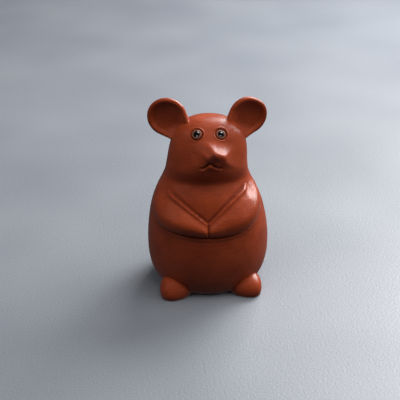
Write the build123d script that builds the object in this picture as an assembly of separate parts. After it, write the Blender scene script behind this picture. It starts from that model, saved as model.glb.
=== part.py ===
"""Sitting clay mouse: a hollow figure of unglazed red stoneware, luted together from
pressed and hand-rolled pieces before firing. All sizes are in millimetres.

+Z is up and the mouse sits on Z = 0. Its face looks along -Y and its left side is +X.
The front and back half shells meet on the plane Y = 0."""

from build123d import *
import copy
import math
import os

# ---- Body ---------------------------------------------------------------------------
BODY_TOP = 64.0  # crown of the head
WALL = 3.2  # thickness of the pressed shells
ROUND = 0.56  # how full the sections are: 0.552 is an ellipse, and more is squarer
# Height, half width, depth in front of the seam and depth behind it.
STATIONS = [
    (0.0, 16.4, 14.8, 15.4),
    (1.2, 18.0, 16.5, 17.0),
    (5.0, 20.5, 18.6, 18.8),
    (11.0, 22.0, 20.2, 19.8),
    (18.0, 22.2, 20.6, 19.9),
    (25.0, 21.5, 19.6, 19.2),
    (32.0, 20.0, 17.5, 17.7),
    (38.0, 17.6, 14.8, 15.7),
    (40.8, 16.2, 12.7, 14.6),
    (43.6, 15.2, 10.6, 13.8),
    (48.0, 14.4, 9.9, 12.9),
    (52.0, 14.0, 10.2, 12.6),
    (56.5, 13.0, 9.3, 11.8),
    (60.3, 11.0, 7.3, 9.8),
    (62.7, 8.0, 4.9, 7.0),
    (63.8, 4.6, 2.5, 4.2),
    (64.0, 2.0, 1.2, 2.0),
]

# ---- Closing the hollow ----------------------------------------------------------------
BASE_THICKNESS = 3.0  # clay disc that closes the bottom
VENT_RADIUS = 1.5  # hole in the base that lets air out in the kiln
COIL_THICKNESS = 1.4  # strip of clay pressed over the seam from inside
COIL_HALF_WIDTH = 1.7

# ---- Muzzle and nose ---------------------------------------------------------------------
MUZZLE_ROOT_HEIGHT = 50.2
MUZZLE_TILT = 18.0  # degrees above the horizontal
# Distance along the muzzle, half width and half height.
MUZZLE_STATIONS = [
    (2.0, 12.2, 9.4),
    (6.0, 10.6, 8.1),
    (9.5, 8.0, 6.3),
    (12.4, 5.3, 4.5),
    (13.9, 3.6, 3.1),
    (14.4, 2.2, 1.9),
]
NOSE_REACH, NOSE_LIFT = 14.4, 0.3  # along the muzzle and up from its axis
NOSE_TURN = 22.0  # degrees that the nose faces down from the muzzle's axis
NOSE_HALF_WIDTH, NOSE_ABOVE, NOSE_BELOW = 3.2, 1.9, 2.0
NOSE_CORNER, NOSE_DEPTH, NOSE_STAND = 0.5, 2.2, 0.55

# ---- Eyes: a pellet in a round pocket, with a pale ring and a glossy bead set in it ---------
EYE_CENTRE = (4.15, -6.75, 60.3)
EYE_TILT = 42.0  # degrees that the eyes look up
EYE_SPLAY = 16.0  # degrees that each eye looks outwards
POCKET_RADIUS, POCKET_DEPTH = 2.45, 1.3
PELLET_RADIUS, PELLET_DOME = 2.1, 0.35
RING_RADIUS, RING_DEPTH = 1.38, 0.7
BEAD_RADIUS, BEAD_DOME = 1.16, 0.45

# ---- Ears: dished discs that narrow to a root on the side of the crown ----------------------
EAR_CENTRE = (14.9, 2.4, 63.9)
EAR_RADIUS = 6.6
EAR_THICKNESS = 2.9
EAR_RIM = 1.0
EAR_DISH_DEPTH = 1.3
EAR_TURN = 12.0  # degrees that each ear faces outwards
EAR_ROOT_ANGLE = 45.0  # degrees below the horizontal, towards the head
EAR_ROOT_REACH, EAR_ROOT_RADIUS = 7.0, 5.1

# ---- Arms: pads of clay on the chest whose hands meet on the middle plane --------------------
ARM_OUTSET = 0.5  # how far an arm stands off the body at its side
ARM_FORWARD = 1.6  # and how much more in front
ARM_END_RADIUS = 17.0  # the round end of the arm, seen from the side
ARM_END_CENTRE = (-14.0, 36.0)
HAND_TOP, HAND_BOTTOM = 31.3, 26.8
ARM_LOWER_EDGE = [(5.6, 26.4), (11.3, 27.0), (15.6, 28.8), (19.0, 31.6), (21.2, 35.0)]
COLLAR = (13.9, 40.6)
SHOULDER = (17.0, 43.0)
ARM_REACH = 26.0  # past the body's side

# ---- Feet and tail ------------------------------------------------------------------------------
FOOT_CENTRE = (12.6, -12.9, 2.0)
FOOT_RADII = (5.7, 7.4, 5.2)
FOOT_TURN = 34.0  # degrees that each foot points outwards
TAIL_RADIUS, TAIL_TIP_RADIUS = 1.9, 0.8
TAIL_START, TAIL_END = 3.0, 27.0
TAIL_SWAY = 4.2
TAIL_STEPS = 14


def oval(half_width, low, high):
    """A flat oval face on the XY plane: four quarter curves, low below the X axis and high above."""
    corners = [(half_width, -low), (-half_width, -low), (-half_width, high), (half_width, high)]
    quarters = []
    for index, (x, y) in enumerate(corners):
        ends = [(x, 0), (x, ROUND * y), (ROUND * x, y), (0, y)]
        quarters.append(Bezier(*(ends if index % 2 == 0 else reversed(ends))))
    return make_face(quarters)


def body_form(inset=0.0, start=0.0):
    """The body as one solid, from a flat start up to a rounded crown, inset on every side."""
    squeeze = (BODY_TOP - inset) / BODY_TOP
    slices = []
    for height, half_width, front, back in STATIONS:
        if min(half_width, front, back) > inset + 0.8:
            outline = oval(half_width - inset, front - inset, back - inset)
            slices.append(Pos(0, 0, height * squeeze if height else start) * outline)
    return loft([s.face() for s in slices])


def block(x_range, y_range, z_range):
    """A box between two values on each axis."""
    spans = (x_range, y_range, z_range)
    size = [high - low for low, high in spans]
    middle = [(low + high) / 2 for low, high in spans]
    return Pos(*middle) * Box(*size)


FAR = 4 * BODY_TOP
FRONT_SPACE = block((-FAR, FAR), (-FAR, 0), (-FAR, FAR))
BACK_SPACE = block((-FAR, FAR), (0, FAR), (-FAR, FAR))
ABOVE_TABLE = block((-FAR, FAR), (-FAR, FAR), (0, FAR))


def along_muzzle(distance, lift=0.0):
    """A frame on the muzzle's axis: +X stays the mouse's left, +Y is up and +Z runs forwards."""
    root = Pos(0, 0, MUZZLE_ROOT_HEIGHT) * Rot(X=90 - MUZZLE_TILT)
    return root * Pos(0, lift, distance)


def muzzle_form():
    slices = [along_muzzle(t) * oval(w, h, h) for t, w, h in MUZZLE_STATIONS]
    return loft([s.face() for s in slices])


def nose_form():
    """A kite-shaped pad with rounded corners that faces forwards and a little down."""
    corners = [(0, NOSE_ABOVE), (NOSE_HALF_WIDTH, -0.2), (0, -NOSE_BELOW), (-NOSE_HALF_WIDTH, -0.2)]
    edges = ShapeList()
    for x, y in corners:
        shrink = 1 - NOSE_CORNER / math.hypot(x, y)
        edges += (Pos(x * shrink, y * shrink) * Circle(NOSE_CORNER)).edges()
    pad = Pos(0, 0, -NOSE_DEPTH) * extrude(make_hull(edges), NOSE_DEPTH + NOSE_STAND)
    pad = fillet(pad.edges().group_by(Axis.Z)[-1], 0.8 * NOSE_CORNER)
    return along_muzzle(NOSE_REACH, NOSE_LIFT) * Rot(X=NOSE_TURN) * pad


def eye_frame(side):
    """The frame of one eye, with +Z along its line of sight. side is 1 for the left eye."""
    x, y, z = EYE_CENTRE
    return Pos(side * x, y, z) * Rot(Z=side * EYE_SPLAY) * Rot(X=90 - EYE_TILT)


def domed_disc(radius, depth, dome, hole=0.0):
    """A disc reaching depth below its frame's XY plane, with a top that swells by dome."""
    swell = (radius**2 + dome**2) / (2 * dome)
    disc = Pos(0, 0, (dome - depth) / 2) * Cylinder(radius, depth + dome)
    disc &= Pos(0, 0, dome - swell) * Sphere(swell)
    return disc - Cylinder(hole, 4 * depth) if hole else disc


def eye_parts(side):
    frame = eye_frame(side)
    sunk = Pos(0, 0, -POCKET_DEPTH)
    pellet = domed_disc(PELLET_RADIUS, POCKET_DEPTH, PELLET_DOME)
    seat = Pos(0, 0, FAR / 2 - RING_DEPTH) * Cylinder(RING_RADIUS, FAR)
    ring = domed_disc(RING_RADIUS, RING_DEPTH, PELLET_DOME, hole=BEAD_RADIUS)
    bead = domed_disc(BEAD_RADIUS, RING_DEPTH, BEAD_DOME)
    return frame * (pellet - seat), frame * ring, frame * bead


def eye_pocket(side):
    return eye_frame(side) * Pos(0, 0, FAR / 2 - POCKET_DEPTH) * Cylinder(POCKET_RADIUS, FAR)


def ear_form(side):
    """A dished disc, hulled to a narrower root that runs into the head."""
    root_angle = math.radians(EAR_ROOT_ANGLE)
    root = (
        -EAR_ROOT_REACH * math.cos(root_angle) * side,
        -EAR_ROOT_REACH * math.sin(root_angle),
    )
    edges = Circle(EAR_RADIUS).edges() + (Pos(*root) * Circle(EAR_ROOT_RADIUS)).edges()
    plate = extrude(make_hull(edges), EAR_THICKNESS / 2, both=True)
    rounding = 0.42 * EAR_THICKNESS
    plate = fillet(plate.edges().filter_by(GeomType.LINE, reverse=True), rounding)
    dish_radius = EAR_RADIUS - EAR_RIM
    swell = (dish_radius**2 + EAR_DISH_DEPTH**2) / (2 * EAR_DISH_DEPTH)
    plate -= Pos(0, 0, EAR_THICKNESS / 2 + swell - EAR_DISH_DEPTH) * Sphere(swell)
    x, y, z = EAR_CENTRE
    return Pos(side * x, y, z) * Rot(Z=side * EAR_TURN) * Rot(X=90) * plate


def arm_space(side):
    """Everything straight in front of and behind one arm's outline."""
    lower = Spline((0, HAND_BOTTOM), *ARM_LOWER_EDGE, tangents=[(1, -0.06), (0.4, 1)])
    upper = Polyline(
        lower @ 1, (ARM_REACH, SHOULDER[1]), SHOULDER, COLLAR, (0, HAND_TOP), (0, HAND_BOTTOM)
    )
    outline = Plane.XZ * make_face([lower, upper])
    y, z = ARM_END_CENTRE
    round_end = Pos(0, y, z) * Rot(Y=90) * Cylinder(ARM_END_RADIUS, FAR)
    space = extrude(outline, ARM_REACH, both=True) & round_end
    return space if side > 0 else mirror(space, Plane.YZ)


def foot_form(side):
    x, y, z = FOOT_CENTRE
    foot = scale(Sphere(1), by=FOOT_RADII)
    return (Pos(side * x, y, z) * Rot(Z=side * FOOT_TURN) * foot) & ABOVE_TABLE


def back_depth(height):
    """How far the body reaches behind the seam at a height, between its stations."""
    for (low, _, _, near), (high, _, _, far) in zip(STATIONS, STATIONS[1:]):
        if low <= height <= high:
            return near + (far - near) * (height - low) / (high - low)
    raise ValueError("that height is above the stations")


def tail_form():
    """A tapering roll that climbs the back in a slow S and ends in a round tip."""
    span = TAIL_END - TAIL_START
    points = []
    for step in range(TAIL_STEPS + 1):
        share = step / TAIL_STEPS
        height = TAIL_START + span * share
        sway = TAIL_SWAY * math.sin(1.5 * math.pi * share) * share
        points.append((sway, back_depth(height) - 0.02 * sway**2, height))
    path = Spline(*points)
    rolls = []
    for step in range(TAIL_STEPS + 1):
        share = step / TAIL_STEPS
        radius = TAIL_RADIUS + (TAIL_TIP_RADIUS - TAIL_RADIUS) * share
        rolls.append(Plane(path @ share, z_dir=path % share) * Circle(radius))
    tip = Pos(*(path @ 1)) * Sphere(TAIL_TIP_RADIUS)
    return loft([r.face() for r in rolls]) + tip


def build():
    """Every piece of the mouse, by node name."""
    outer = body_form()
    hollow = body_form(WALL, start=-2.0)
    shell = outer - hollow
    pieces = {"body_back": shell & BACK_SPACE}
    face = outer + (muzzle_form() & FRONT_SPACE)
    front = (face - hollow) & FRONT_SPACE

    floor = block((-FAR, FAR), (-FAR, FAR), (0, BASE_THICKNESS))
    pieces["base_disc"] = (hollow & floor) - Cylinder(VENT_RADIUS, 4 * BASE_THICKNESS)

    strip = block((-FAR, FAR), (-COIL_HALF_WIDTH, COIL_HALF_WIDTH), (BASE_THICKNESS, FAR))
    pieces["seam_coil"] = (hollow & strip) - body_form(WALL + COIL_THICKNESS, start=-2.0)

    arm_stock = Pos(0, -ARM_FORWARD, 0) * body_form(-ARM_OUTSET)
    pieces["nose"] = nose_form() - face
    pieces["tail"] = (tail_form() & ABOVE_TABLE) - outer

    for side, name in ((1, "left"), (-1, "right")):
        front -= eye_pocket(side)
        pellet, ring, bead = eye_parts(side)
        pieces[f"eye_pellet_{name}"] = pellet
        pieces[f"eye_ring_{name}"] = ring
        pieces[f"eye_bead_{name}"] = bead
        pieces[f"ear_{name}"] = ear_form(side) - outer
        pieces[f"arm_{name}"] = (arm_stock & arm_space(side)) - face
        pieces[f"foot_{name}"] = foot_form(side) - outer
    pieces["body_front"] = front
    return pieces


def centred(pieces):
    """The pieces moved together so that their shared box stands on the origin."""
    box = Compound(children=[copy.copy(p) for p in pieces.values()]).bounding_box()
    move = Pos(-(box.min.X + box.max.X) / 2, -(box.min.Y + box.max.Y) / 2, -box.min.Z)
    return {name: move * piece for name, piece in pieces.items()}


if __name__ == "__main__":
    os.makedirs("parts", exist_ok=True)
    for name, piece in centred(build()).items():
        export_step(piece, f"parts/{name}.step")
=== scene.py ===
"""Looks of the sitting clay mouse. Lengths are in millimetres, or in metres where a name ends in _M
or _m, and named angles are in degrees. Meshes are turned into metres when they are made."""

import math

import bmesh
import bpy
import numpy as np
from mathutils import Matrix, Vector


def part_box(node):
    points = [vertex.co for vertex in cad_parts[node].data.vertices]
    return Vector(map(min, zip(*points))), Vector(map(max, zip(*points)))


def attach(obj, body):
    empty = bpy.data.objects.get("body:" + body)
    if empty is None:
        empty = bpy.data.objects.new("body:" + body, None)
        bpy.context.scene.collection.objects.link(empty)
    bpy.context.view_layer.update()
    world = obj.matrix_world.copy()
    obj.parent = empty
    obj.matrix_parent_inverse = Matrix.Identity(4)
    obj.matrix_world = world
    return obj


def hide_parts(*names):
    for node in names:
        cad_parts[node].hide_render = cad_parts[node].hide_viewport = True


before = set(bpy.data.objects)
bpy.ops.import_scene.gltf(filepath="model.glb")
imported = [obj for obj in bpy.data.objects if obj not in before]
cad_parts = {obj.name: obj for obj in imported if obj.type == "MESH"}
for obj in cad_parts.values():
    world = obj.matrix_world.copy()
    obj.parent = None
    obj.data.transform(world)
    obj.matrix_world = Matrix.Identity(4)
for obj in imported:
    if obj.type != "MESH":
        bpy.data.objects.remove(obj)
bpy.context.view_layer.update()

MM = 0.001


def node_box(name):
    """Lowest and highest corner of a CAD node in millimetres."""
    low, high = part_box(name)
    return np.array(low) / MM, np.array(high) / MM


SEAM_Y = node_box("body_back")[0][1]
BODY_TOP = node_box("body_back")[1][2]

# ---- Curves, rings and directions ----------------------------------------------------------------


def curve_through(table, column=1, power=1.0):
    """A smooth function through one column of a table, read against the table's first column."""
    x = np.array([row[0] for row in table], float)
    y = np.array([row[column] for row in table], float) ** power
    slope = np.gradient(y, x)

    def at(value):
        value = np.clip(value, x[0], x[-1])
        i = np.clip(np.searchsorted(x, value) - 1, 0, len(x) - 2)
        h = x[i + 1] - x[i]
        t = (value - x[i]) / h
        blend = (2 * t**3 - 3 * t**2 + 1) * y[i] + (3 * t**2 - 2 * t**3) * y[i + 1]
        bend = (t**3 - 2 * t**2 + t) * slope[i] + (t**3 - t**2) * slope[i + 1]
        return blend + h * bend

    return at


def ease(value, start, end):
    """0 before start, 1 after end, and smooth between."""
    t = np.clip((value - start) / (end - start), 0.0, 1.0)
    return t * t * (3 - 2 * t)


def hump(value, middle, width):
    """A bell: 1 at the middle and about a third of that one width away."""
    return np.exp(-(((value - middle) / width) ** 2))


def ridge(value, form):
    """A ridge whose form is its height, where its middle is and its width."""
    height, middle, width = form
    return height * hump(value, middle, width)


def smoothed(grid, passes):
    """A grid averaged with its neighbours, with its outer rows and columns held."""
    for _ in range(passes):
        inner = grid.copy()
        inner[1:-1] = (grid[:-2] + 2 * grid[1:-1] + grid[2:]) / 4
        grid = inner.copy()
        grid[:, 1:-1] = (inner[:, :-2] + 2 * inner[:, 1:-1] + inner[:, 2:]) / 4
    return grid


def smoothed_ring(values, passes):
    """Values round a closed ring, each averaged with its two neighbours."""
    for _ in range(passes):
        values = (np.roll(values, 1) + 2 * values + np.roll(values, -1)) / 4
    return values


def once_round(count):
    """Angles in radians in equal steps round a circle."""
    return np.linspace(0, 2 * math.pi, count, endpoint=False)


def steps(*stretches):
    """Values from (start, end, step) stretches that follow on from each other."""
    values = [stretches[0][0]]
    for start, end, step in stretches:
        count = max(1, round(abs(end - start) / step))
        values += list(np.linspace(start, end, count + 1)[1:])
    return np.array(values)


def unit(vectors):
    """Each vector divided by its length."""
    return vectors / np.maximum(np.linalg.norm(vectors, axis=-1, keepdims=True), 1e-9)


# ---- Body surface --------------------------------------------------------------------------------
# Height, half width, depth in front of the seam and depth behind it, much as in the CAD body.
STATIONS = [
    (0.0, 16.4, 14.8, 15.4),
    (1.2, 18.0, 16.5, 17.0),
    (5.0, 20.5, 18.6, 18.8),
    (11.0, 22.0, 20.2, 19.8),
    (18.0, 22.2, 20.6, 19.9),
    (25.0, 21.5, 19.6, 19.2),
    (32.0, 20.0, 17.5, 17.7),
    (38.0, 17.6, 14.8, 15.7),
    (40.6, 16.3, 12.8, 14.7),
    (43.4, 15.2, 10.4, 13.8),
    (48.0, 14.4, 9.9, 12.9),
    (52.0, 14.0, 10.2, 12.6),
    (56.5, 13.0, 9.3, 11.8),
    (60.3, 11.0, 7.4, 9.8),
    (62.6, 8.0, 4.9, 7.0),
    (63.7, 4.6, 2.6, 4.2),
    (64.1, 0.1, 0.1, 0.1),
]
CROWN = STATIONS[-1][0]
SECTION_POWER = 2.08  # 2 would make each level section an ellipse
HALF_WIDTH_SQUARED = curve_through(STATIONS, 1, 2)
FRONT_SQUARED = curve_through(STATIONS, 2, 2)
BACK_SQUARED = curve_through(STATIONS, 3, 2)

# The profile of the face on the middle plane: height and depth in front of the seam.
FACE_PROFILE = [
    (39.0, 14.0),
    (40.6, 12.4),
    (42.0, 11.1),
    (43.4, 10.9),
    (45.2, 11.6),
    (47.5, 12.7),
    (49.8, 13.3),
    (51.5, 13.4),
    (52.8, 13.2),
    (54.0, 12.7),
    (55.5, 11.7),
    (57.2, 10.4),
    (59.0, 9.0),
    (61.0, 6.9),
    (62.8, 4.6),
]
FACE_DEPTH = curve_through(FACE_PROFILE)
FACE_LOW, FACE_HIGH = FACE_PROFILE[0][0], FACE_PROFILE[-1][0]
# Height, how far the muzzle spreads sideways there, and how round it is across (2 is round).
MUZZLE_SPREAD = [
    (39.0, 13.2, 3.4),
    (43.4, 12.8, 3.4),
    (47.0, 11.0, 3.0),
    (49.5, 9.2, 2.5),
    (51.5, 7.8, 2.2),
    (53.5, 6.8, 2.0),
    (56.0, 6.2, 2.0),
    (62.5, 5.6, 2.0),
]
SPREAD = curve_through(MUZZLE_SPREAD, 1)
ROUNDNESS = curve_through(MUZZLE_SPREAD, 2)
FACE_FADE = 0.3  # the face fades out before the seam, where a ray's forward part falls from this to 0

# The snout is a wedge with softened edges. Places are (x, depth in front of the seam, z). Each side
# has the direction that it faces and its distance from the tip.
SNOUT_TIP = (0.96, 15.2, 56.8)
SNOUT_SIDES = [
    ((0.40, 0.22, 0.89), 0.0),  # slope on the mouse's left
    ((-0.62, 0.50, 0.60), 0.0),  # slope on its right
    ((0.05, 0.97, -0.22), 0.0),  # blunt end
    ((0.0, -0.40, 0.92), 3.2),  # top, behind the tip
    ((0.90, 0.40, 0.15), 2.9),  # left flank
    ((-0.85, 0.35, -0.2), 3.1),  # right flank
    ((0.0, 0.45, -0.89), 3.9),  # underside
]
SNOUT_SOFTNESS = 0.5
SNOUT_BLEND = 2.0

HEAD_CENTRE = 50.0  # rays fan out from here over the crown
BODY_MIDDLE = 40.0  # a height well inside the body, for telling its outside from its inside
# The figure was pressed by hand, so it leans a little towards its own right at the shoulders.
LEAN_TABLE = [(0, 0.0), (22, -0.05), (30, -0.3), (40, -0.6), (47, -0.4), (54, 0.05), (70, 0.0)]
LEAN = curve_through(LEAN_TABLE)


def reach(inside, limit=40.0, halvings=34):
    """How far each ray goes before it leaves the form, by halving."""
    low = np.zeros(inside(0.0).shape)
    high = np.full(low.shape, limit)
    for _ in range(halvings):
        middle = (low + high) / 2
        within = inside(middle)
        low = np.where(within, middle, low)
        high = np.where(within, high, middle)
    return low


class Rays:
    """Rays from the body's axis, one row per start height and climb, and one column per turn."""

    def __init__(self, heights, climbs, turns):
        self.start = np.asarray(heights, float)[:, None]
        self.climb = np.radians(np.asarray(climbs, float))[:, None]
        turn = np.radians(np.asarray(turns, float))[None, :]
        self.x = np.sin(turn) * np.cos(self.climb)
        self.y = -np.cos(turn) * np.cos(self.climb)
        self.z = np.broadcast_to(np.sin(self.climb), self.x.shape)

    def height(self, distance):
        """Height of the place this far along each ray."""
        return self.start + distance * self.z


def plain_radius(rays):
    """How far each ray goes to the surface of the body without its face."""

    def inside(distance):
        z = rays.height(distance)
        x, y = distance * rays.x, distance * rays.y
        depth = np.where(rays.y < 0, FRONT_SQUARED(z), BACK_SQUARED(z))
        across = (x**2 / HALF_WIDTH_SQUARED(z)) ** (SECTION_POWER / 2)
        along = (y**2 / depth) ** (SECTION_POWER / 2)
        return (across + along < 1) & (z < CROWN)

    return smoothed(reach(inside), 3)


def face_stand(rays, radius):
    """How far the face stands off the plain body along each ray."""
    rise, run = np.sin(rays.climb[:, 0]), np.cos(rays.climb[:, 0])
    row_z = rays.start[:, 0]

    def before_plain(distance):
        z = row_z + distance * rise
        return (distance * run < np.sqrt(np.maximum(FRONT_SQUARED(z), 0))) & (z < CROWN)

    def before_face(distance):
        z = row_z + distance * rise
        on_face = (z > FACE_LOW) & (z < FACE_HIGH)
        return before_plain(distance) | (on_face & (distance * run < FACE_DEPTH(z)))

    full = reach(before_face)
    stand = (full - reach(before_plain))[:, None]
    face_z = (row_z + full * rise)[:, None]
    spread, roundness = SPREAD(face_z), ROUNDNESS(face_z)
    lateral = np.exp(-((np.abs(radius * rays.x) / spread) ** roundness))
    return stand * (lateral * ease(-rays.y, 0.0, FACE_FADE))


def snout_distance(place):
    """Roughly how far outside the snout a place (x, depth in front of the seam, z) is."""
    off = [place[i] - SNOUT_TIP[i] for i in range(3)]
    total = 0.0
    for facing, room in SNOUT_SIDES:
        size = math.sqrt(sum(f * f for f in facing))
        beyond = sum(f / size * o for f, o in zip(facing, off)) - room
        total = total + np.exp(np.clip(beyond / SNOUT_SOFTNESS, -60, 60))
    return SNOUT_SOFTNESS * np.log(total)


def with_snout(rays, radius):
    """How far each ray goes once the snout is joined smoothly to the face."""

    def before_snout(distance):
        gap = distance - radius
        to_snout = snout_distance([distance * rays.x, -distance * rays.y, rays.height(distance)])
        share = np.clip(0.5 + 0.5 * (to_snout - gap) / SNOUT_BLEND, 0, 1)
        return to_snout * (1 - share) + gap * share - SNOUT_BLEND * share * (1 - share) < 0

    return np.where(rays.y < 0, smoothed(reach(before_snout), 1), radius)


def body_surface(heights, climbs, turns):
    """Points on the body, one row per ray height and climb, and one column per turn.
    Turn 0 looks forwards and +90 degrees is the mouse's left. The rows with a climb all start
    at the head's centre."""
    rays = Rays(heights, climbs, turns)
    radius = plain_radius(rays)
    radius = smoothed(radius + face_stand(rays, radius), 2)
    radius = with_snout(rays, radius)
    z = rays.height(radius)
    return np.stack([radius * rays.x + LEAN(z), SEAM_Y + radius * rays.y, z], axis=-1)


def normals_of(points):
    """Unit normals of a grid of points, facing away from the body's axis."""
    down = np.gradient(points, axis=0)
    across = np.gradient(points, axis=1)
    normal = unit(np.cross(across, down))
    outward = points - np.array([0, SEAM_Y, BODY_MIDDLE])
    flip = np.sign(np.sum(normal * outward, axis=-1, keepdims=True))
    return normal * np.where(flip == 0, 1, flip)


# Rays up the body to the head's centre, then over the crown. They are closest over the face.
HEIGHTS = steps((0, 2, 0.25), (2, 24, 0.5), (24, 46, 0.28), (46, HEAD_CENTRE, 0.14))
CLIMBS = steps((0, 66, 0.5), (66, 88, 1.4), (88, 89.9, 0.6))
ROW_HEIGHTS = np.concatenate([HEIGHTS, np.full(len(CLIMBS) - 1, HEAD_CENTRE)])
ROW_CLIMBS = np.concatenate([np.zeros(len(HEIGHTS)), CLIMBS[1:]])
FRONT_TURNS = steps((-90, -42, 1.2), (-42, 42, 0.5), (42, 90, 1.2))
BACK_TURNS = steps((90, 270, 1.8))

# ---- Creases: the arms' edges on the body, as turn and height ------------------------------------
CREASE_LOW = [
    (-112, 36.0),
    (-90, 31.8),
    (-75, 29.6),
    (-59, 27.8),
    (-42, 27.0),
    (-24, 26.6),
    (-4, 26.3),
    (16, 26.4),
    (34, 27.0),
    (50, 28.8),
    (66, 31.6),
    (78, 34.2),
    (112, 38.0),
]
CREASE_HIGH = [
    (-112, 44.5),
    (-90, 43.6),
    (-75, 41.6),
    (-61, 39.8),
    (-44, 38.4),
    (-29, 36.5),
    (-16, 34.1),
    (-9, 32.6),
    (-3.6, 31.5),
    (1.5, 32.6),
    (7, 34.0),
    (19.5, 36.6),
    (35, 38.8),
    (54, 40.5),
    (70, 42.4),
    (90, 44.0),
    (112, 44.5),
]
CREASES_TOP = 45.0  # the arms' creases stay below this height
LOW_FADE, HIGH_FADE = (66, 84), (50, 60)  # turns over which each crease fades out
# Ridges and grooves along a crease, with painted shade in it: height or depth, or the strength of the
# painted shade, distance above the crease, and width.
LOW_RIDGE, LOW_GROOVE, LOW_SHADE = (0.36, -0.95, 0.5), (0.34, 0.0, 0.36), (1.0, -0.1, 0.5)
HIGH_GROOVE, HIGH_SHADE = (0.22, 0.25, 0.45), (1.0, 0.15, 0.4)
HANDS_TURN = -3.6  # where the two hands meet
LOW_EDGE = curve_through(CREASE_LOW)
HIGH_EDGE = curve_through(CREASE_HIGH)


def turn_of(points):
    """Turn of each point round the body's axis, in degrees from straight ahead, + to its left."""
    lean = LEAN(points[..., 2])
    return np.degrees(np.arctan2(points[..., 0] - lean, SEAM_Y - points[..., 1]))


def arm_creases(points):
    """The creases under and over the folded arms: how far the clay stands off, and the shade painted
    in them.
    """
    turn, z = turn_of(points), points[..., 2]
    level = z < CREASES_TOP
    low = z - LOW_EDGE(turn)
    under = level * (1 - ease(np.abs(turn), *LOW_FADE))
    high = z - HIGH_EDGE(turn)
    over = level * (1 - ease(np.abs(turn), *HIGH_FADE))
    relief = under * (ridge(low, LOW_RIDGE) - ridge(low, LOW_GROOVE))
    relief -= over * ridge(high, HIGH_GROOVE)
    return relief, under * ridge(low, LOW_SHADE) + over * ridge(high, HIGH_SHADE)


# ---- Eye sockets ---------------------------------------------------------------------------------
SOCKET_RADIUS = 1.95
SOCKET_REACH = 4.0  # the socket's shape ends this far in front of the eye and behind it
# Height of the rim or strength of the painted shade, distance from the eye's axis, and width.
SOCKET_RIM = (0.15, SOCKET_RADIUS + 0.58, 0.22)
SOCKET_SHADE = (1.0, SOCKET_RADIUS - 0.05, 0.25)
BEVEL_DEPTH, BEVEL_SPAN = 0.42, (SOCKET_RADIUS - 0.05, SOCKET_RADIUS + 0.52)
POCKET_DEPTH, POCKET_SPAN = 0.7, (SOCKET_RADIUS - 0.18, SOCKET_RADIUS + 0.04)
EYE_PATCH = 2.0  # radius of the patch of the body that the eye is set square to
# From the CAD eye to this one. The two are not quite level.
EYE_NUDGE = {"left": (-0.25, 0.0, -0.05), "right": (-0.48, 0.0, 0.28)}


def eye_frame(side_name, points, normals):
    """The centre of an eye on the smooth body, and its three axes: right, up and outwards."""
    low, high = node_box(f"eye_bead_{side_name}")
    gap = np.linalg.norm(points - (low + high) / 2, axis=-1)
    near = gap < EYE_PATCH
    weight = np.exp(-(gap[near] ** 2))[:, None]
    centre = (points[near] * weight).sum(0) / weight.sum() + EYE_NUDGE[side_name]
    out = unit((normals[near] * weight).sum(0))
    right = unit(np.cross([0, 0, 1.0], out))
    return centre, right, np.cross(out, right), out


def socket(eye, points):
    """A raised rim, a bevel and the pocket: how far the clay stands off, and the shade painted at the
    pocket's edge.
    """
    centre, _, _, out = eye
    from_eye = points - centre
    above = from_eye @ out
    away = np.sqrt(np.maximum(np.sum(from_eye**2, axis=-1) - above**2, 0))
    near = (points[..., 1] < SEAM_Y) & (np.abs(above) < SOCKET_REACH)
    bevel = BEVEL_DEPTH * (1 - ease(away, *BEVEL_SPAN))
    pocket = POCKET_DEPTH * (1 - ease(away, *POCKET_SPAN))
    return near * (ridge(away, SOCKET_RIM) - (bevel + pocket)), near * ridge(away, SOCKET_SHADE)


# ---- Mouth ---------------------------------------------------------------------------------------
# The line of the mouth, the middle of the lower lip and a nostril, as (x, z) in the front view.
MOUTH = [
    (-4.0, 50.4),
    (-3.2, 50.4),
    (-2.4, 50.9),
    (-1.4, 52.0),
    (-0.6, 52.8),
    (0.3, 52.2),
    (1.4, 51.1),
    (2.6, 50.5),
    (3.7, 50.5),
]
LIP_MIDDLE = (-0.5, 51.4)
NOSTRIL = (-2.0, 55.2)
MOUTH_REACH = 4.0
MOUTH_ENDS = (3.1, 4.1)  # the mouth gets shallower between these distances from the middle plane
# Depth of the groove or strength of the shade painted in it, distance from the line, and width.
MOUTH_GROOVE, MOUTH_SHADE = (0.70, 0.0, 0.34), (1.0, 0.0, 0.35)
LIP_RIDGE, LIP_SWELL, NOSTRIL_SWELL = (0.40, 0.82, 0.46), (0.36, 0.0, 0.75), (0.3, 0.0, 0.9)


def from_line(points, line):
    """Distance in the front view from a line of (x, z) points, and how far above it."""
    x, z = points[..., 0], points[..., 2]
    best = np.full(x.shape, 1e9)
    for (ax, az), (bx, bz) in zip(line, line[1:]):
        dx, dz = bx - ax, bz - az
        t = np.clip(((x - ax) * dx + (z - az) * dz) / (dx * dx + dz * dz), 0, 1)
        best = np.minimum(best, np.hypot(x - ax - t * dx, z - az - t * dz))
    above = z - np.interp(x, [p[0] for p in line], [p[1] for p in line])
    return best, above


def from_spot(points, spot):
    """Distance in the front view from a place (x, z)."""
    return np.hypot(points[..., 0] - spot[0], points[..., 2] - spot[1])


def mouth(points):
    """The pressed mouth, its lower lip and a nostril: how far the clay stands off, and painted shade.
    """
    ahead = points[..., 1] < SEAM_Y
    gap, above = from_line(points, MOUTH)
    near = ahead & (gap < MOUTH_REACH)
    taper = 1 - ease(np.abs(points[..., 0]), *MOUTH_ENDS)
    groove = ridge(gap, MOUTH_GROOVE) * (0.35 + 0.65 * taper)
    lip = ridge(gap, LIP_RIDGE) * (above < 0) * taper
    lip += ridge(from_spot(points, LIP_MIDDLE), LIP_SWELL)
    nostril = ridge(from_spot(points, NOSTRIL), NOSTRIL_SWELL)
    return near * (lip - groove) + ahead * nostril, near * ridge(gap, MOUTH_SHADE)
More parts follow.
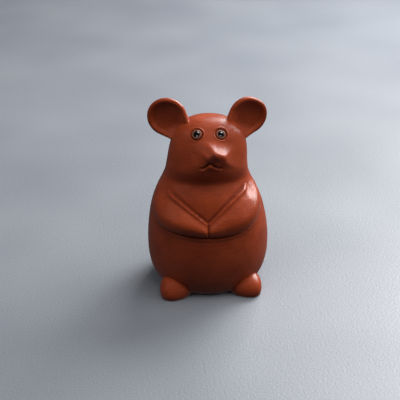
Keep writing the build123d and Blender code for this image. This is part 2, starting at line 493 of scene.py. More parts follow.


# ---- All the modelled detail ---------------------------------------------------------------------
# Painted shade: the clay is darkened close to the floor and under the chin, where shade falls.
FLOOR_SHADE, FLOOR_SHADE_TOP = 0.45, 11.0  # the clay is darker close to the floor
CHIN_SHADE, CHIN_SPREAD = (0.3, 43.5, 2.6), 10.0  # and under the chin


def modelled_detail(points, eyes):
    """How far the modelled detail stands off the smooth body, and how much shade is painted on the
    clay there.
    """
    relief = np.zeros(points.shape[:2])
    painted_shade = np.zeros(points.shape[:2])
    parts = [socket(eye, points) for eye in eyes] + [mouth(points), arm_creases(points)]
    for stand, shade in parts:
        relief += stand
        painted_shade += shade
    x, y, z = points[..., 0], points[..., 1], points[..., 2]
    # Painted shade, darker towards the floor and under the chin.
    by_the_floor = FLOOR_SHADE * (1 - ease(z, 0.0, FLOOR_SHADE_TOP))
    under_the_chin = (y < SEAM_Y) * ridge(z, CHIN_SHADE) * hump(x, 0, CHIN_SPREAD)
    return relief, np.clip(painted_shade + by_the_floor + under_the_chin, 0, 1)


# ---- Making meshes -------------------------------------------------------------------------------


def grid_faces(rows, columns, start=0, wrap=False, flip=False):
    """Quads over a grid of points, numbered row by row from start."""
    r = np.arange(rows - 1)[:, None]
    c = np.arange(columns if wrap else columns - 1)[None, :]
    here, below = r * columns, (r + 1) * columns
    after = (c + 1) % columns
    corners = [here + c, here + after, below + after, below + c]
    quads = np.stack(np.broadcast_arrays(*corners), axis=-1).reshape(-1, 4) + start
    return quads[:, ::-1] if flip else quads


def strip_faces(first, second):
    """Quads between two runs of point numbers of the same length."""
    return np.stack([first[:-1], first[1:], second[1:], second[:-1]], axis=-1)


def two_skins(outside, inside):
    """Points and faces of two grids of the same size, with walls between their edges."""
    rows, columns = outside.shape[:2]
    start = rows * columns
    number = np.arange(start).reshape(rows, columns)
    faces = [grid_faces(rows, columns), grid_faces(rows, columns, start, flip=True)]
    for edge in (number[0], number[-1], number[:, 0], number[:, -1]):
        faces.append(strip_faces(edge, edge + start))
    points = np.concatenate([outside.reshape(-1, 3), inside.reshape(-1, 3)])
    return points, np.concatenate(faces)


def capped_faces(rows, columns):
    """Faces of a form that closes to a point at both ends: one point, the rings, the other point."""
    faces = [tuple(quad) for quad in grid_faces(rows, columns, 1, wrap=True)]
    last = 1 + (rows - 1) * columns
    for here in range(columns):
        after = (here + 1) % columns
        faces.append((0, 1 + after, 1 + here))
        faces.append((last + here, last + after, last + columns))
    return faces


def add_object(name, data):
    """A new object in the scene."""
    obj = bpy.data.objects.new(name, data)
    bpy.context.scene.collection.objects.link(obj)
    return obj


def close_up(mesh):
    """Joins points that lie in one place and turns all faces outwards."""
    bm = bmesh.new()
    bm.from_mesh(mesh)
    bmesh.ops.remove_doubles(bm, verts=bm.verts, dist=1e-7)
    bmesh.ops.recalc_face_normals(bm, faces=bm.faces)
    bm.to_mesh(mesh)
    bm.free()


def make_piece(node, name, points, faces, material, painted_shade=None, smooth_angle=50):
    """A closed mesh piece that stands for a CAD node and rides on the one body. The painted shade
    values are for the first points; the others have none."""
    mesh = bpy.data.meshes.new(node)
    mesh.from_pydata((np.asarray(points) * MM).tolist(), [], [tuple(map(int, f)) for f in faces])
    mesh.validate()
    mesh.update()
    values = np.zeros(len(points), np.float32)
    if painted_shade is not None:
        values[: painted_shade.size] = painted_shade.ravel()
    mesh.attributes.new("painted_shade", "FLOAT", "POINT").data.foreach_set("value", values)
    close_up(mesh)
    mesh.polygons.foreach_set("use_smooth", [True] * len(mesh.polygons))
    mesh.set_sharp_from_angle(angle=math.radians(smooth_angle))
    mesh.materials.append(material)
    obj = add_object(name, mesh)
    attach(obj, "root")
    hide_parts(node)
    return obj


# ---- Materials -----------------------------------------------------------------------------------
MOTTLE, SPECK, STROKE = 9.0, 0.35, 0.5  # sizes of the noises that colour the clay
STROKE_STRETCH = (7, 7, 0.8)  # strokes run round the figure
WAVE, GRAIN = 6.0, 0.22  # sizes of two more noises, for bumps
WAVE_HEIGHT, STROKE_HEIGHT, GRAIN_HEIGHT = 0.16, 0.06, 0.032
# how strongly the painted shade darkens the clay
PAINTED_SHADE_STRENGTH = 0.6
SPECK_TINTS = [(0.34, (0.45, 0.40, 0.38)), (0.5, 1.0), (0.68, (1.25, 1.3, 1.35))]
STROKE_TINTS = [(0.36, (0.82, 0.80, 0.80)), (0.64, (1.12, 1.14, 1.16))]
CLAY_ROUGHNESS = [(0.3, 0.30), (0.7, 0.39)]
GLAZE_TONES = [(0.3, (0.001, 0.001, 0.001)), (0.7, (0.003, 0.002, 0.002))]
GLAZE_ROUGHNESS = [(0.3, 0.01), (0.7, 0.02)]
FLOOR_TONES = [(0.3, (0.175, 0.193, 0.222)), (0.7, (0.212, 0.231, 0.26))]


class Nodes:
    """Short ways to build a node tree for one material."""

    def __init__(self, name):
        self.material = bpy.data.materials.new(name)
        self.material.use_nodes = True
        self.tree = self.material.node_tree
        self.shader = self.tree.nodes["Principled BSDF"]
        self.place = self.add("ShaderNodeTexCoord").outputs["Object"]

    def add(self, kind, **settings):
        """A new node with some of its settings."""
        node = self.tree.nodes.new(kind)
        for key, value in settings.items():
            setattr(node, key, value)
        return node

    def link(self, source, target):
        self.tree.links.new(source, target)

    def drive(self, socket_name, source):
        """Links a varying value into the shader."""
        self.link(source, self.shader.inputs[socket_name])

    def fix(self, **values):
        """Sets plain values on the shader. In their names, an underscore stands for a space."""
        for key, value in values.items():
            self.shader.inputs[key.replace("_", " ")].default_value = value

    def noise(self, size, detail=3.0, roughness=0.55, stretch=(1, 1, 1), offset=(0, 0, 0)):
        """Noise whose features are about size millimetres, stretched along each axis. An offset
        only keeps one noise from following another."""
        mapping = self.add("ShaderNodeMapping")
        mapping.inputs["Scale"].default_value = [1 / s for s in stretch]
        mapping.inputs["Location"].default_value = offset
        self.link(self.place, mapping.inputs["Vector"])
        noise = self.add("ShaderNodeTexNoise")
        noise.inputs["Scale"].default_value = 1 / (size * MM)
        noise.inputs["Detail"].default_value = detail
        noise.inputs["Roughness"].default_value = roughness
        self.link(mapping.outputs["Vector"], noise.inputs["Vector"])
        return noise.outputs["Fac"]

    def ramp(self, value, stops):
        """A colour or grey ramp: stops are (position, colour or number)."""
        ramp = self.add("ShaderNodeValToRGB")
        elements = ramp.color_ramp.elements
        while len(elements) < len(stops):
            elements.new(0.5)
        for element, (position, colour) in zip(elements, stops):
            element.position = position
            rgb = colour if isinstance(colour, tuple) else (colour,) * 3
            element.color = (*rgb, 1)
        self.link(value, ramp.inputs["Fac"])
        return ramp.outputs["Color"]

    def mix(self, amount, first, second, mode="MIX"):
        """Two colours mixed, or multiplied, by an amount from 0 to 1."""
        mix = self.add("ShaderNodeMix", data_type="RGBA", blend_type=mode)
        for key, value in ((0, amount), (6, first), (7, second)):
            if isinstance(value, bpy.types.NodeSocket):
                self.link(value, mix.inputs[key])
            else:
                mix.inputs[key].default_value = value if key == 0 else (*value, 1)
        return mix.outputs[2]

    def scaled(self, value, factor):
        """A value times a plain number."""
        node = self.add("ShaderNodeMath", operation="MULTIPLY")
        self.link(value, node.inputs[0])
        node.inputs[1].default_value = factor
        return node.outputs[0]

    def bump(self, height, distance, below=None):
        """A bumped surface, laid over another one if below is given."""
        bump = self.add("ShaderNodeBump")
        bump.inputs["Distance"].default_value = distance * MM
        bump.inputs["Strength"].default_value = 1.0
        self.link(height, bump.inputs["Height"])
        if below is not None:
            self.link(below, bump.inputs["Normal"])
        return bump.outputs["Normal"]


def clay(name, light, dark, painted_shade_colour):
    """Fine unglazed clay: mottled, speckled, burnished in strokes round the figure, with painted
    shade.
    """
    n = Nodes(name)
    broad = n.noise(MOTTLE, detail=2.0)
    speck = n.noise(SPECK, detail=2.0, roughness=0.7, offset=(0.3, 0.1, 0.2))
    stroke = n.noise(STROKE, detail=3.0, stretch=STROKE_STRETCH, offset=(0.1, 0.4, 0.0))
    tone = n.ramp(broad, [(0.35, dark), (0.65, light)])
    tone = n.mix(0.35, tone, n.ramp(speck, SPECK_TINTS), "MULTIPLY")
    tone = n.mix(0.5, tone, n.ramp(stroke, STROKE_TINTS), "MULTIPLY")
    # Painted shade: each point's value darkens the clay towards its shade colour.
    painted_shade = n.add("ShaderNodeAttribute", attribute_name="painted_shade").outputs["Fac"]
    n.drive("Base Color", n.mix(n.scaled(painted_shade, PAINTED_SHADE_STRENGTH), tone, painted_shade_colour))
    n.drive("Roughness", n.mix(0.4, n.ramp(broad, CLAY_ROUGHNESS), n.ramp(stroke, CLAY_ROUGHNESS)))
    n.fix(Specular_IOR_Level=0.45, Sheen_Weight=0.04, Sheen_Roughness=0.45)
    surface = n.bump(n.noise(WAVE, detail=1.0, offset=(0.7, 0.2, 0.5)), WAVE_HEIGHT)
    surface = n.bump(stroke, STROKE_HEIGHT, below=surface)
    surface = n.bump(n.noise(GRAIN, detail=3.0, roughness=0.6), GRAIN_HEIGHT, below=surface)
    n.drive("Normal", surface)
    return n.material


def glossy_bead():
    """A black glaze that is almost a mirror."""
    n = Nodes("black_glaze")
    cloud = n.noise(0.8, detail=2.0)
    n.drive("Base Color", n.ramp(cloud, GLAZE_TONES))
    n.drive("Roughness", n.ramp(cloud, GLAZE_ROUGHNESS))
    n.drive("Normal", n.bump(n.noise(1.2), 0.003))
    n.fix(Specular_IOR_Level=0.35, Coat_Weight=0.1, Coat_Roughness=0.03)
    return n.material


def pale_floor():
    """A pale, slightly clouded floor with a fine grain."""
    n = Nodes("pale_floor")
    n.drive("Base Color", n.ramp(n.noise(60.0, detail=1.0), FLOOR_TONES))
    n.drive("Normal", n.bump(n.noise(0.9, detail=2.0), 0.12))
    n.fix(Roughness=0.5, Specular_IOR_Level=0.7)
    return n.material


# Each clay's light and dark mottle tones, and the colour that its painted shade darkens towards.
RED = clay("red_clay", (0.350, 0.055, 0.015), (0.275, 0.040, 0.011), (0.085, 0.012, 0.003))
# Painted shade: the nose pad's clay is about half as bright as the face's, for the shade on its
# down-facing face.
NOSE_SHADE_CLAY = clay("dark_clay", (0.170, 0.027, 0.010), (0.130, 0.020, 0.008), (0.05, 0.009, 0.003))
DUSKY = clay("dusky_clay", (0.230, 0.056, 0.030), (0.185, 0.044, 0.023), (0.05, 0.010, 0.004))
PALE = clay("pale_slip", (0.30, 0.17, 0.13), (0.24, 0.13, 0.10), (0.2, 0.1, 0.08))
BLACK = glossy_bead()

# ---- Body shells ---------------------------------------------------------------------------------
WALL = 3.2  # thickness of the shells
SMOOTH_FRONT = body_surface(ROW_HEIGHTS, ROW_CLIMBS, FRONT_TURNS)
FRONT_NORMALS = normals_of(SMOOTH_FRONT)
EYES = {side: eye_frame(side, SMOOTH_FRONT, FRONT_NORMALS) for side in ("left", "right")}


def inner_wall(outside):
    """The plain inside of a shell, one wall further in."""
    axis = np.array([0, SEAM_Y])
    from_axis = outside[..., :2] - axis
    size = np.maximum(np.linalg.norm(from_axis, axis=-1), 1e-6)
    scale = np.maximum(1 - WALL / size, 0.0)[..., None]
    squeeze = (BODY_TOP - WALL) / BODY_TOP
    inside = np.concatenate([from_axis * scale + axis, outside[..., 2:] * squeeze], axis=-1)
    return smoothed(inside, 2)


def make_shell(node, name, turns):
    """One half shell: a detailed outside, a plain inside, and the walls between them."""
    plain = body_surface(ROW_HEIGHTS, ROW_CLIMBS, turns)
    relief, painted_shade = modelled_detail(plain, EYES.values())
    outside = plain + normals_of(plain) * relief[..., None]
    points, faces = two_skins(outside, inner_wall(outside))
    make_piece(node, name, points, faces, RED, painted_shade)


make_shell("body_front", "front_shell", FRONT_TURNS)
make_shell("body_back", "back_shell", BACK_TURNS)


# ---- Arms ----------------------------------------------------------------------------------------
ARM_TURN = 104.0  # how far round the body an arm reaches
ARM_BODY_HEIGHTS = steps((24, 46, 0.2))  # the part of the body that the arms lie on
ARM_RADIUS = 19.0  # of the body where the hands meet
ARM_EDGE = 5.8  # width of the rounding along the lower edge
LIP_EDGE = 0.55  # the same along the collar line
ARM_SLOPE, ARM_SLOPE_SPAN = 0.72, (0.30, 1.0)  # how much it thins upwards, and over which shares
COLLAR_END = (50, 66)  # turns over which the collar line fades out
COLLAR_RIDGE, COLLAR_GROOVE = (0.30, 0.75, 0.5), (0.16, 2.0, 0.8)  # measured down from the line
COLLAR_SPAN = (0.1, 0.3)  # shares of the arm's width over which they appear
UPPER_FEATHER = 6.0  # the arm's upper side thins over this width where there is no collar line
HANDS_GROOVE = (0.45, 0.0, 0.42)
ARM_SINK = 0.06
ARM_ROOT = 0.5  # how deep the arm's underside lies in the body
# Turn and how far the arm stands off the body.
ARM_SWELL = [(-4, 2.8), (12, 3.3), (30, 3.9), (48, 3.4), (64, 2.0), (80, 0.8), (94, 0.15), (104, 0.0)]
SWELL = curve_through(ARM_SWELL)


def at_heights(grid, heights):
    """Columns of a grid over ARM_BODY_HEIGHTS, each read at its own heights."""
    spacing = ARM_BODY_HEIGHTS[1] - ARM_BODY_HEIGHTS[0]
    spot = (heights - ARM_BODY_HEIGHTS[0]) / spacing
    i = np.clip(spot.astype(int), 0, len(ARM_BODY_HEIGHTS) - 2)
    part = (spot - i)[..., None]
    column = np.arange(heights.shape[1])[None, :]
    return grid[i, column] * (1 - part) + grid[i + 1, column] * part


def arm_thickness(turns, share, from_low, from_high, from_hands):
    """How far an arm stands off the body, and the shade painted along its edges."""
    lower = np.sqrt(1 - (1 - np.clip(from_low / ARM_EDGE, 0, 1)) ** 2.2)
    slope = 1 - ARM_SLOPE * ease(share, *ARM_SLOPE_SPAN)
    collar = 1 - ease(turns, *COLLAR_END)[None, :]
    lip_edge = np.sqrt(1 - (1 - np.clip(from_high / LIP_EDGE, 0, 1)) ** 2)
    upper = collar * lip_edge + (1 - collar) * ease(from_high, 0.0, UPPER_FEATHER)
    height = SWELL(turns)[None, :] * lower * slope * upper
    lip = ridge(from_high, COLLAR_RIDGE) - ridge(from_high, COLLAR_GROOVE)
    height += collar * lip * ease(share, *COLLAR_SPAN)
    height *= 1 - ridge(from_hands, HANDS_GROOVE)
    # Painted shade under the arm's lower edge, along the collar line and between the hands.
    shade = hump(from_low, 0, 0.35) + collar * hump(from_high, 0, 0.2)
    shade += 0.7 * hump(from_hands, 0, 0.2)
    return height - ARM_SINK, np.clip(shade, 0, 1)


def make_arm(side_name, side):
    """A pad of clay on the body: full below, with a thin lip along the collar line."""
    first = side * HANDS_TURN
    turns = steps((first, first + 2, 0.12), (first + 2, 60, 0.55), (60, ARM_TURN, 0.9))
    share = np.linspace(0, 1, 92)[:, None] ** 1.5
    body = body_surface(ARM_BODY_HEIGHTS, np.zeros(len(ARM_BODY_HEIGHTS)), side * turns)
    low, high = LOW_EDGE(side * turns)[None, :], HIGH_EDGE(side * turns)[None, :]
    heights = low + (high - low) * share
    base = at_heights(body, heights)
    out = unit(at_heights(normals_of(body), heights))
    from_hands = np.radians(turns - first)[None, :] * ARM_RADIUS
    from_low, from_high = share * (high - low), (1 - share) * (high - low)
    height, shade = arm_thickness(turns, share, from_low, from_high, from_hands)
    points, faces = two_skins(base + out * height[..., None], base - out * ARM_ROOT)
    name = f"folded_arm_{side_name}"
    make_piece(f"arm_{side_name}", name, points, faces, RED, shade, 60)


make_arm("left", 1)
make_arm("right", -1)


# ---- Ears ----------------------------------------------------------------------------------------
EAR_RADIUS = 7.2
EAR_THICKNESS = 2.9
EAR_TURN = 12.0
EAR_BEHIND = 2.4  # from the seam to the middle of the ear's thickness
EAR_INSET = 0.1  # from the side of the CAD ear's box
EAR_COLUMNS = 168
# The root of each ear: sideways and up from the ear's centre, where away from the head and up are
# positive, and the root's radius. The mouse's right ear sits a little higher than the left, and the
# left one is pressed a little flat on its outer top.
EAR_ROOT = {"left": (-4.5, -4.3, 4.6), "right": (-4.7, -4.1, 4.3)}
EAR_RAISE = {"left": 0.0, "right": 0.35}
EAR_FLAT = {"left": 0.3, "right": 0.0}
EAR_FLAT_TURN, EAR_FLAT_SPREAD = 62.0, 28.0
EAR_RIM_ROUND = 1.2  # how far in from the edge the rim is rounded
EAR_STEP, EAR_STEP_SPAN = 0.75, (1.1, 2.4)  # depth of the step inside the rim, and where it is
EAR_DISH = 1.25  # how much deeper the dish gets towards its middle
EAR_MIDDLE = 1.9  # depth of the dish's middle point below the rim
EAR_COVE, EAR_COVE_SPAN = 2.6, (3.0, 8.5)  # rise of the dish towards the root, and where it is
EAR_RIM_FADE = (25, 75)  # the rim appears between these angles from the root's direction
EAR_BACK_BULGE = 0.25


def ear_outline(angles, root):
    """How far the ear's edge is from its centre: round two circles and what lies between them."""
    share = np.linspace(0, 1, 60)[:, None]
    cx, cy = root[0] * share, root[1] * share
    radius = EAR_RADIUS + (root[2] - EAR_RADIUS) * share
    ux, uy = np.cos(angles)[None, :], np.sin(angles)[None, :]
    along = cx * ux + cy * uy
    across = (cx * uy - cy * ux) ** 2
    crosses = radius**2 > across
    room = np.where(crosses, radius**2 - across, 0)
    return np.where(crosses, along + np.sqrt(room), 0).max(0)


def ear_rings(edge, rim):
    """Radius and height of each ring of points: out over the dish and rim, and in over the back."""
    half = EAR_THICKNESS / 2
    rings = []
    for q in np.linspace(0.0, 1.0, 44)[1:] ** 0.8:
        r = q * edge
        inward = edge - r
        wall = EAR_STEP * (rim * ease(inward, *EAR_STEP_SPAN) + (1 - rim))
        dish = -wall - EAR_DISH * (1 - q**2)
        cove = EAR_COVE * (1 - rim) * ease(r, *EAR_COVE_SPAN)
        fall = np.clip((EAR_RIM_ROUND - inward) / EAR_RIM_ROUND, 0, 1)
        rings.append((r, half + dish + cove - half * (1 - np.sqrt(1 - fall**2))))
    for q in np.linspace(1.0, 0.0, 26)[1:-1]:
        bulge = half * np.sqrt(1 - q**5) + EAR_BACK_BULGE * (1 - q**2)
        rings.append((q * edge, np.full(len(edge), -bulge)))
    return rings


def ear_form(side_name):
    """Points of an ear about its centre (sideways, up, forwards), and how many rings they make."""
    root = EAR_ROOT[side_name]
    angles = once_round(EAR_COLUMNS)
    edge = smoothed_ring(ear_outline(angles, root), 6)
    edge = edge - EAR_FLAT[side_name] * hump(np.degrees(angles), EAR_FLAT_TURN, EAR_FLAT_SPREAD)
    off_root = np.abs((angles - math.atan2(root[1], root[0]) + math.pi) % (2 * math.pi) - math.pi)
    rings = ear_rings(edge, ease(np.degrees(off_root), *EAR_RIM_FADE))
    half = EAR_THICKNESS / 2
    points = [np.array([(0, 0, half - EAR_MIDDLE)])]
    points += [np.stack([r * np.cos(angles), r * np.sin(angles), depth], -1) for r, depth in rings]
    points.append(np.array([(0, 0, -half - EAR_BACK_BULGE)]))
    return np.concatenate(points), len(rings)


def make_ear(side_name, side):
    """A dished round ear, turned a little outwards."""
    local, rows = ear_form(side_name)
    node = f"ear_{side_name}"
    low, high = node_box(node)
    turn = math.radians(EAR_TURN)
    middle_x = max(abs(low[0]), abs(high[0])) - EAR_RADIUS * math.cos(turn) - EAR_INSET
    u, v, w = local.T
    x = side * (middle_x + u * math.cos(turn) + w * math.sin(turn))
    y = SEAM_Y + EAR_BEHIND + u * math.sin(turn) - w * math.cos(turn)
    z = high[2] - EAR_RADIUS + EAR_RAISE[side_name] + v
    faces = capped_faces(rows, EAR_COLUMNS)
    points = np.stack([x, y, z], -1)
    make_piece(node, f"round_{node}", points, faces, RED, smooth_angle=80)


make_ear("left", 1)
make_ear("right", -1)


# ---- Feet ----------------------------------------------------------------------------------------
FOOT_HALF = (5.9, 7.5, 5.3)  # across, along and up
FOOT_POLE = 5.0
FOOT_TURN = 34.0
FOOT_PLACE = (12.6, -12.5, 2.0)  # from the middle plane, the seam and the floor
FOOT_ROWS, FOOT_COLUMNS = 58, 96
TOE_NARROWING = 0.14
FOOT_OUTER_SWELL = 0.20


def make_foot(side_name, side):
    """An egg-shaped foot: narrower at the toe, fuller outside, turned outwards and flat below."""
    lat = np.linspace(-math.pi / 2, math.pi / 2, FOOT_ROWS + 2)[1:-1, None]
    lon = once_round(FOOT_COLUMNS)[None, :]
    across, along = np.cos(lat) * np.cos(lon), np.cos(lat) * np.sin(lon)
    x = FOOT_HALF[0] * across * (1 - TOE_NARROWING * ease(-along, 0.2, 1.0))
    y = FOOT_HALF[1] * along
    z = FOOT_HALF[2] * np.sin(lat) * (1 + FOOT_OUTER_SWELL * side * across)
    rings = np.stack([x, y, z], -1).reshape(-1, 3)
    x, y, z = np.concatenate([[(0, 0, -FOOT_POLE)], rings, [(0, 0, FOOT_POLE)]]).T
    turn = side * math.radians(FOOT_TURN)
    turned_x = x * math.cos(turn) - y * math.sin(turn) + side * FOOT_PLACE[0]
    turned_y = x * math.sin(turn) + y * math.cos(turn) + SEAM_Y + FOOT_PLACE[1]
    points = np.stack([turned_x, turned_y, np.maximum(z + FOOT_PLACE[2], 0.0)], -1)
    node = f"foot_{side_name}"
    faces = capped_faces(FOOT_ROWS, FOOT_COLUMNS)
    make_piece(node, f"round_{node}", points, faces, RED, smooth_angle=40)


make_foot("left", 1)
make_foot("right", -1)


# ---- Eyes ----------------------------------------------------------------------------------------
def dome(radius, height, rise, count, start=0.0):
    """Points over a shallow dome from its rim to its middle, or to a hole of radius start."""
    angles = np.linspace(0, math.pi / 2, count)
    return [(start + (radius - start) * math.cos(a), height + rise * math.sin(a)) for a in angles]


# Radius and height above the face, round each turned piece. The ring closes on itself.
PELLET = [(0.0, -1.2), (1.5, -1.2), (1.78, -0.9), (1.82, -0.45)]
PELLET += dome(1.80, -0.38, 0.36, 12, 1.27) + [(1.27, -0.4), (0.0, -0.5)]
RING = [(1.15, -0.5), (1.34, -0.5), (1.37, -0.06), (1.34, 0.01), (1.28, 0.04), (1.20, 0.0)]
RING += [(1.15, -0.08)]
BEAD = [(0.0, -0.6), (1.11, -0.6), (1.17, -0.25)] + dome(1.17, -0.12, 0.68, 20)
EYE_COLUMNS = 72
BEADS = bpy.data.collections.new("beads")  # two small lights shine on these alone


def turned_piece(node, name, profile, eye, material, smooth_angle=40):
    """A ring or disc turned from a closed profile about the eye's axis."""
    centre, right, up, out = eye
    around = once_round(EYE_COLUMNS)[:, None]
    spokes = np.cos(around) * right + np.sin(around) * up
    points = np.concatenate([centre + radius * spokes + height * out for radius, height in profile])
    faces = [grid_faces(len(profile), EYE_COLUMNS, wrap=True)]
    if profile[0][0] > 0:
        here = np.arange(EYE_COLUMNS)
        after = (here + 1) % EYE_COLUMNS
        last = (len(profile) - 1) * EYE_COLUMNS
        faces.append(np.stack([last + here, last + after, after, here], -1))
    return make_piece(node, name, points, np.concatenate(faces), material, None, smooth_angle)


def make_eye(side):
    """A pellet in its socket, a pale ring and a glossy bead."""
    eye = EYES[side]
    turned_piece(f"eye_pellet_{side}", f"pellet_{side}", PELLET, eye, DUSKY)
    turned_piece(f"eye_ring_{side}", f"pale_ring_{side}", RING, eye, PALE)
    bead = turned_piece(f"eye_bead_{side}", f"bead_{side}", BEAD, eye, BLACK, 60)
    BEADS.objects.link(bead)


make_eye("left")
make_eye("right")


# ---- Nose ----------------------------------------------------------------------------------------
NOSE_MIDDLE = (0.4, 54.7)  # x and z
NOSE_CORNERS = [(0.6, 2.2), (3.3, -1.0), (-0.75, -1.9), (-3.1, -1.1)]  # from its middle
NOSE_COLUMNS = 96
# Share of the way out to the pad's edge, and how far the pad stands off the snout there.
NOSE_PROFILE = [(0.0, -1.4), (0.5, -1.4), (0.9, -1.2), (1.0, -0.5), (1.0, -0.2), (0.97, -0.02)]
NOSE_PROFILE += [(0.93, 0.10), (0.87, 0.18), (0.75, 0.24), (0.6, 0.27)]
NOSE_PROFILE += [(0.4, 0.28), (0.2, 0.28), (0.0, 0.28)]
SNOUT_PATCH = (8.0, 54.5, 6.0)  # half width, middle height and half height of the nose's region
SNOUT_GRAIN = 0.25  # points of the body this close are averaged


def surface_y(x, z):
    """The body's front at a place in the front view, from the nearest points of its grid."""
    front = SMOOTH_FRONT.reshape(-1, 3)
    half_width, middle, half_height = SNOUT_PATCH
    near = (np.abs(front[:, 0]) < half_width) & (np.abs(front[:, 2] - middle) < half_height)
    front = front[near & (front[:, 1] < SEAM_Y)]
    gap = (front[:, 0] - x[:, None]) ** 2 + (front[:, 2] - z[:, None]) ** 2
    weight = np.exp(-gap / SNOUT_GRAIN**2) + 1e-12
    return (weight * front[:, 1]).sum(1) / weight.sum(1)


def polygon_edge(corners, angles):
    """How far a polygon's edge is from its middle in each direction."""
    edge = np.full(len(angles), 1e9)
    for (ax, ay), (bx, by) in zip(corners, corners[1:] + corners[:1]):
        normal = unit(np.array([by - ay, ax - bx]))
        if normal @ [ax, ay] < 0:
            normal = -normal
        facing = np.cos(angles) * normal[0] + np.sin(angles) * normal[1]
        crossing = (normal @ [ax, ay]) / np.maximum(facing, 1e-6)
        edge = np.minimum(edge, np.where(facing > 1e-6, crossing, 1e9))
    return edge


def make_nose():
    """A kite-shaped pad laid on the end of the snout, with softened edges."""
    around = once_round(NOSE_COLUMNS)
    edge = smoothed_ring(polygon_edge(NOSE_CORNERS, around), 8)
    rings = []
    for share, stand in NOSE_PROFILE:
        x = NOSE_MIDDLE[0] + share * edge * np.cos(around)
        z = NOSE_MIDDLE[1] + share * edge * np.sin(around)
        rings.append(np.stack([x, surface_y(x, z) - stand, z], -1))
    faces = grid_faces(len(rings), NOSE_COLUMNS, wrap=True)
    # The pad's darker clay is painted shade.
    make_piece("nose", "nose_pad", np.concatenate(rings), faces, NOSE_SHADE_CLAY, smooth_angle=60)


make_nose()


# ---- Tail ----------------------------------------------------------------------------------------
TAIL_START, TAIL_RISE = 3.0, 24.0
TAIL_SWAY, TAIL_BENDS = 4.2, 1.5
TAIL_WRAP = 0.02  # how much the tail follows the back's roundness as it sways
TAIL_RADII = (1.9, 0.85)  # at the root and near the tip
TAIL_ROOT_SHARE, TAIL_TIP_SHARE = 0.06, 0.045  # the ends are rounded over these shares
TAIL_ROWS, TAIL_COLUMNS = 90, 28
TAIL_FLOOR_GAP = 0.05


def rounded_end(share):
    """Width of a round end: full where it begins (share 0) and nearly 0 at its point (share 1)."""
    return np.sqrt(1 - np.clip(share, 0, 1) ** 2 * 0.999)


def make_tail():
    """A tapering roll that climbs the back in a slow S."""
    share = np.linspace(0, 1, TAIL_ROWS)
    heights = TAIL_START + TAIL_RISE * share
    sway = TAIL_SWAY * np.sin(TAIL_BENDS * math.pi * share) * share
    depth = np.sqrt(BACK_SQUARED(heights)) - TAIL_WRAP * sway**2
    path = np.stack([sway, SEAM_Y + depth, heights], -1)
    radius = TAIL_RADII[0] + (TAIL_RADII[1] - TAIL_RADII[0]) * share
    radius = radius * rounded_end((share - 1 + TAIL_TIP_SHARE) / TAIL_TIP_SHARE)
    radius = radius * rounded_end((TAIL_ROOT_SHARE - share) / TAIL_ROOT_SHARE)
    forward = unit(np.gradient(path, axis=0))
    side = unit(np.cross(forward, [0, 1.0, 0]))
    out = np.cross(side, forward)
    around = once_round(TAIL_COLUMNS)[None, :, None]
    spokes = np.cos(around) * side[:, None, :] + np.sin(around) * out[:, None, :]
    points = path[:, None, :] + radius[:, None, None] * spokes
    points[..., 2] = np.maximum(points[..., 2], TAIL_FLOOR_GAP)
    faces = [tuple(quad) for quad in grid_faces(TAIL_ROWS, TAIL_COLUMNS, wrap=True)]
    faces.append(tuple(range(TAIL_COLUMNS)))
    faces.append(tuple(reversed(range((TAIL_ROWS - 1) * TAIL_COLUMNS, TAIL_ROWS * TAIL_COLUMNS))))
    make_piece("tail", "clay_tail", points.reshape(-1, 3), faces, RED, smooth_angle=60)


make_tail()

for name in ("seam_coil", "base_disc"):
    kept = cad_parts[name]
    kept.data.materials.clear()
    kept.data.materials.append(RED)

# ---- Floor, lights and camera --------------------------------------------------------------------
FLOOR_REACH_M = 3.0
LIGHT_AIM_M = Vector((0, 0, 0.03))
LIGHT_DISTANCE_M = 0.60
WHITE, WARM = (1.0, 0.99, 0.98), (1.0, 0.98, 0.96)
# Name, turn, climb, width in metres, watts, colour, and whether the clay mirrors it.
LIGHTS = [
    ("window", 130, 30, 0.31, 4.0, WHITE, True),
    ("high_window", 146, 43, 0.31, 2.7, WHITE, True),
    ("right", 88, 38, 0.34, 1.0, WHITE, False),
    ("front", 56, 30, 0.34, 0.50, WARM, False),
    ("left", -72, 46, 0.40, 0.85, WARM, False),
    ("sky", 50, 78, 0.40, 1.8, WARM, False),
]
GLINTS = [("glint_above", 92, 72), ("glint_ahead", -4, 7)]  # name, turn and climb
GLINT_DISTANCE_M = 0.5
GLINT_WIDTH_M = 0.09
GLINT_WATTS = 1.7
GLINT_COLOUR = (1, 1, 1)
SKY_COLOUR = (0.86, 0.90, 1.0, 1)
SKY_STRENGTH = 0.06

CAMERA_TURN, CAMERA_CLIMB = -4.7, 28.0
CAMERA_DISTANCE_M = 0.3667
CAMERA_LENS, CAMERA_SENSOR = 90, 36
AIM_RIGHT_M = -0.00286  # the aim is this far to the camera's right of the body's axis
AIM_HEIGHT_M = 0.0311


def direction(turn, climb):
    """A unit vector. Turn is from straight ahead of the face to the mouse's left."""
    t, c = math.radians(turn), math.radians(climb)
    return Vector((math.sin(t) * math.cos(c), -math.cos(t) * math.cos(c), math.sin(c)))


def aim(obj, target, away, distance_m):
    """Sets an object at a distance from a target, looking back at it."""
    obj.location = target + away * distance_m
    obj.rotation_euler = away.to_track_quat("Z", "Y").to_euler()


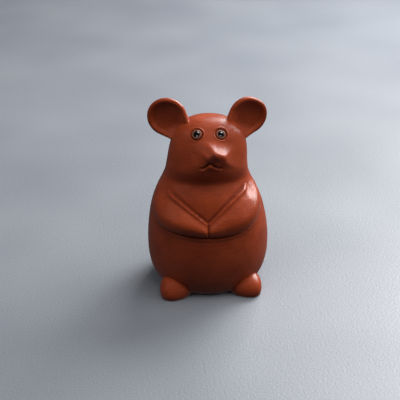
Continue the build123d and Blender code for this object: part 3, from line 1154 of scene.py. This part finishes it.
def make_floor():
    """A level square under the figure. It is hidden from diffuse and glossy rays, because so pale
    a floor would light clay this dark from below and shine in it."""
    signs = ((-1, -1), (1, -1), (1, 1), (-1, 1))
    corners = [(FLOOR_REACH_M * x, FLOOR_REACH_M * y, 0) for x, y in signs]
    mesh = bpy.data.meshes.new("floor")
    mesh.from_pydata(corners, [], [(0, 1, 2, 3)])
    mesh.materials.append(pale_floor())
    floor = add_object("floor", mesh)
    floor.visible_glossy = False
    floor.visible_diffuse = False


def area_light(name, turn, climb, distance_m, width_m, watts, colour):
    """A square light that looks at the figure."""
    data = bpy.data.lights.new(name, "AREA")
    data.shape = "RECTANGLE"
    data.size = data.size_y = width_m
    data.energy = watts
    data.color = colour
    light = add_object(name, data)
    aim(light, LIGHT_AIM_M, direction(turn, climb), distance_m)
    return light


def make_lights():
    """The studio's lights, and two small ones that only the beads receive."""
    for name, turn, climb, width_m, watts, colour, mirrored in LIGHTS:
        light = area_light(name, turn, climb, LIGHT_DISTANCE_M, width_m, watts, colour)
        light.visible_glossy = mirrored
    for name, turn, climb in GLINTS:
        where = (turn, climb, GLINT_DISTANCE_M)
        glint = area_light(name, *where, GLINT_WIDTH_M, GLINT_WATTS, GLINT_COLOUR)
        glint.light_linking.receiver_collection = BEADS


def make_world():
    """A faint, even sky."""
    world = bpy.data.worlds.new("studio")
    bpy.context.scene.world = world
    world.use_nodes = True
    background = world.node_tree.nodes["Background"]
    background.inputs["Color"].default_value = SKY_COLOUR
    background.inputs["Strength"].default_value = SKY_STRENGTH
    bpy.context.scene.view_settings.view_transform = "Standard"


def make_camera():
    """A long lens, a little to the mouse's right and well above it."""
    data = bpy.data.cameras.new("camera")
    data.lens = CAMERA_LENS
    data.sensor_width = CAMERA_SENSOR
    camera = add_object("camera", data)
    yaw = math.radians(CAMERA_TURN)
    target = Vector((AIM_RIGHT_M * math.cos(yaw), AIM_RIGHT_M * math.sin(yaw), AIM_HEIGHT_M))
    aim(camera, target, direction(CAMERA_TURN, CAMERA_CLIMB), CAMERA_DISTANCE_M)
    bpy.context.scene.camera = camera


make_floor()
make_lights()
make_world()
make_camera()
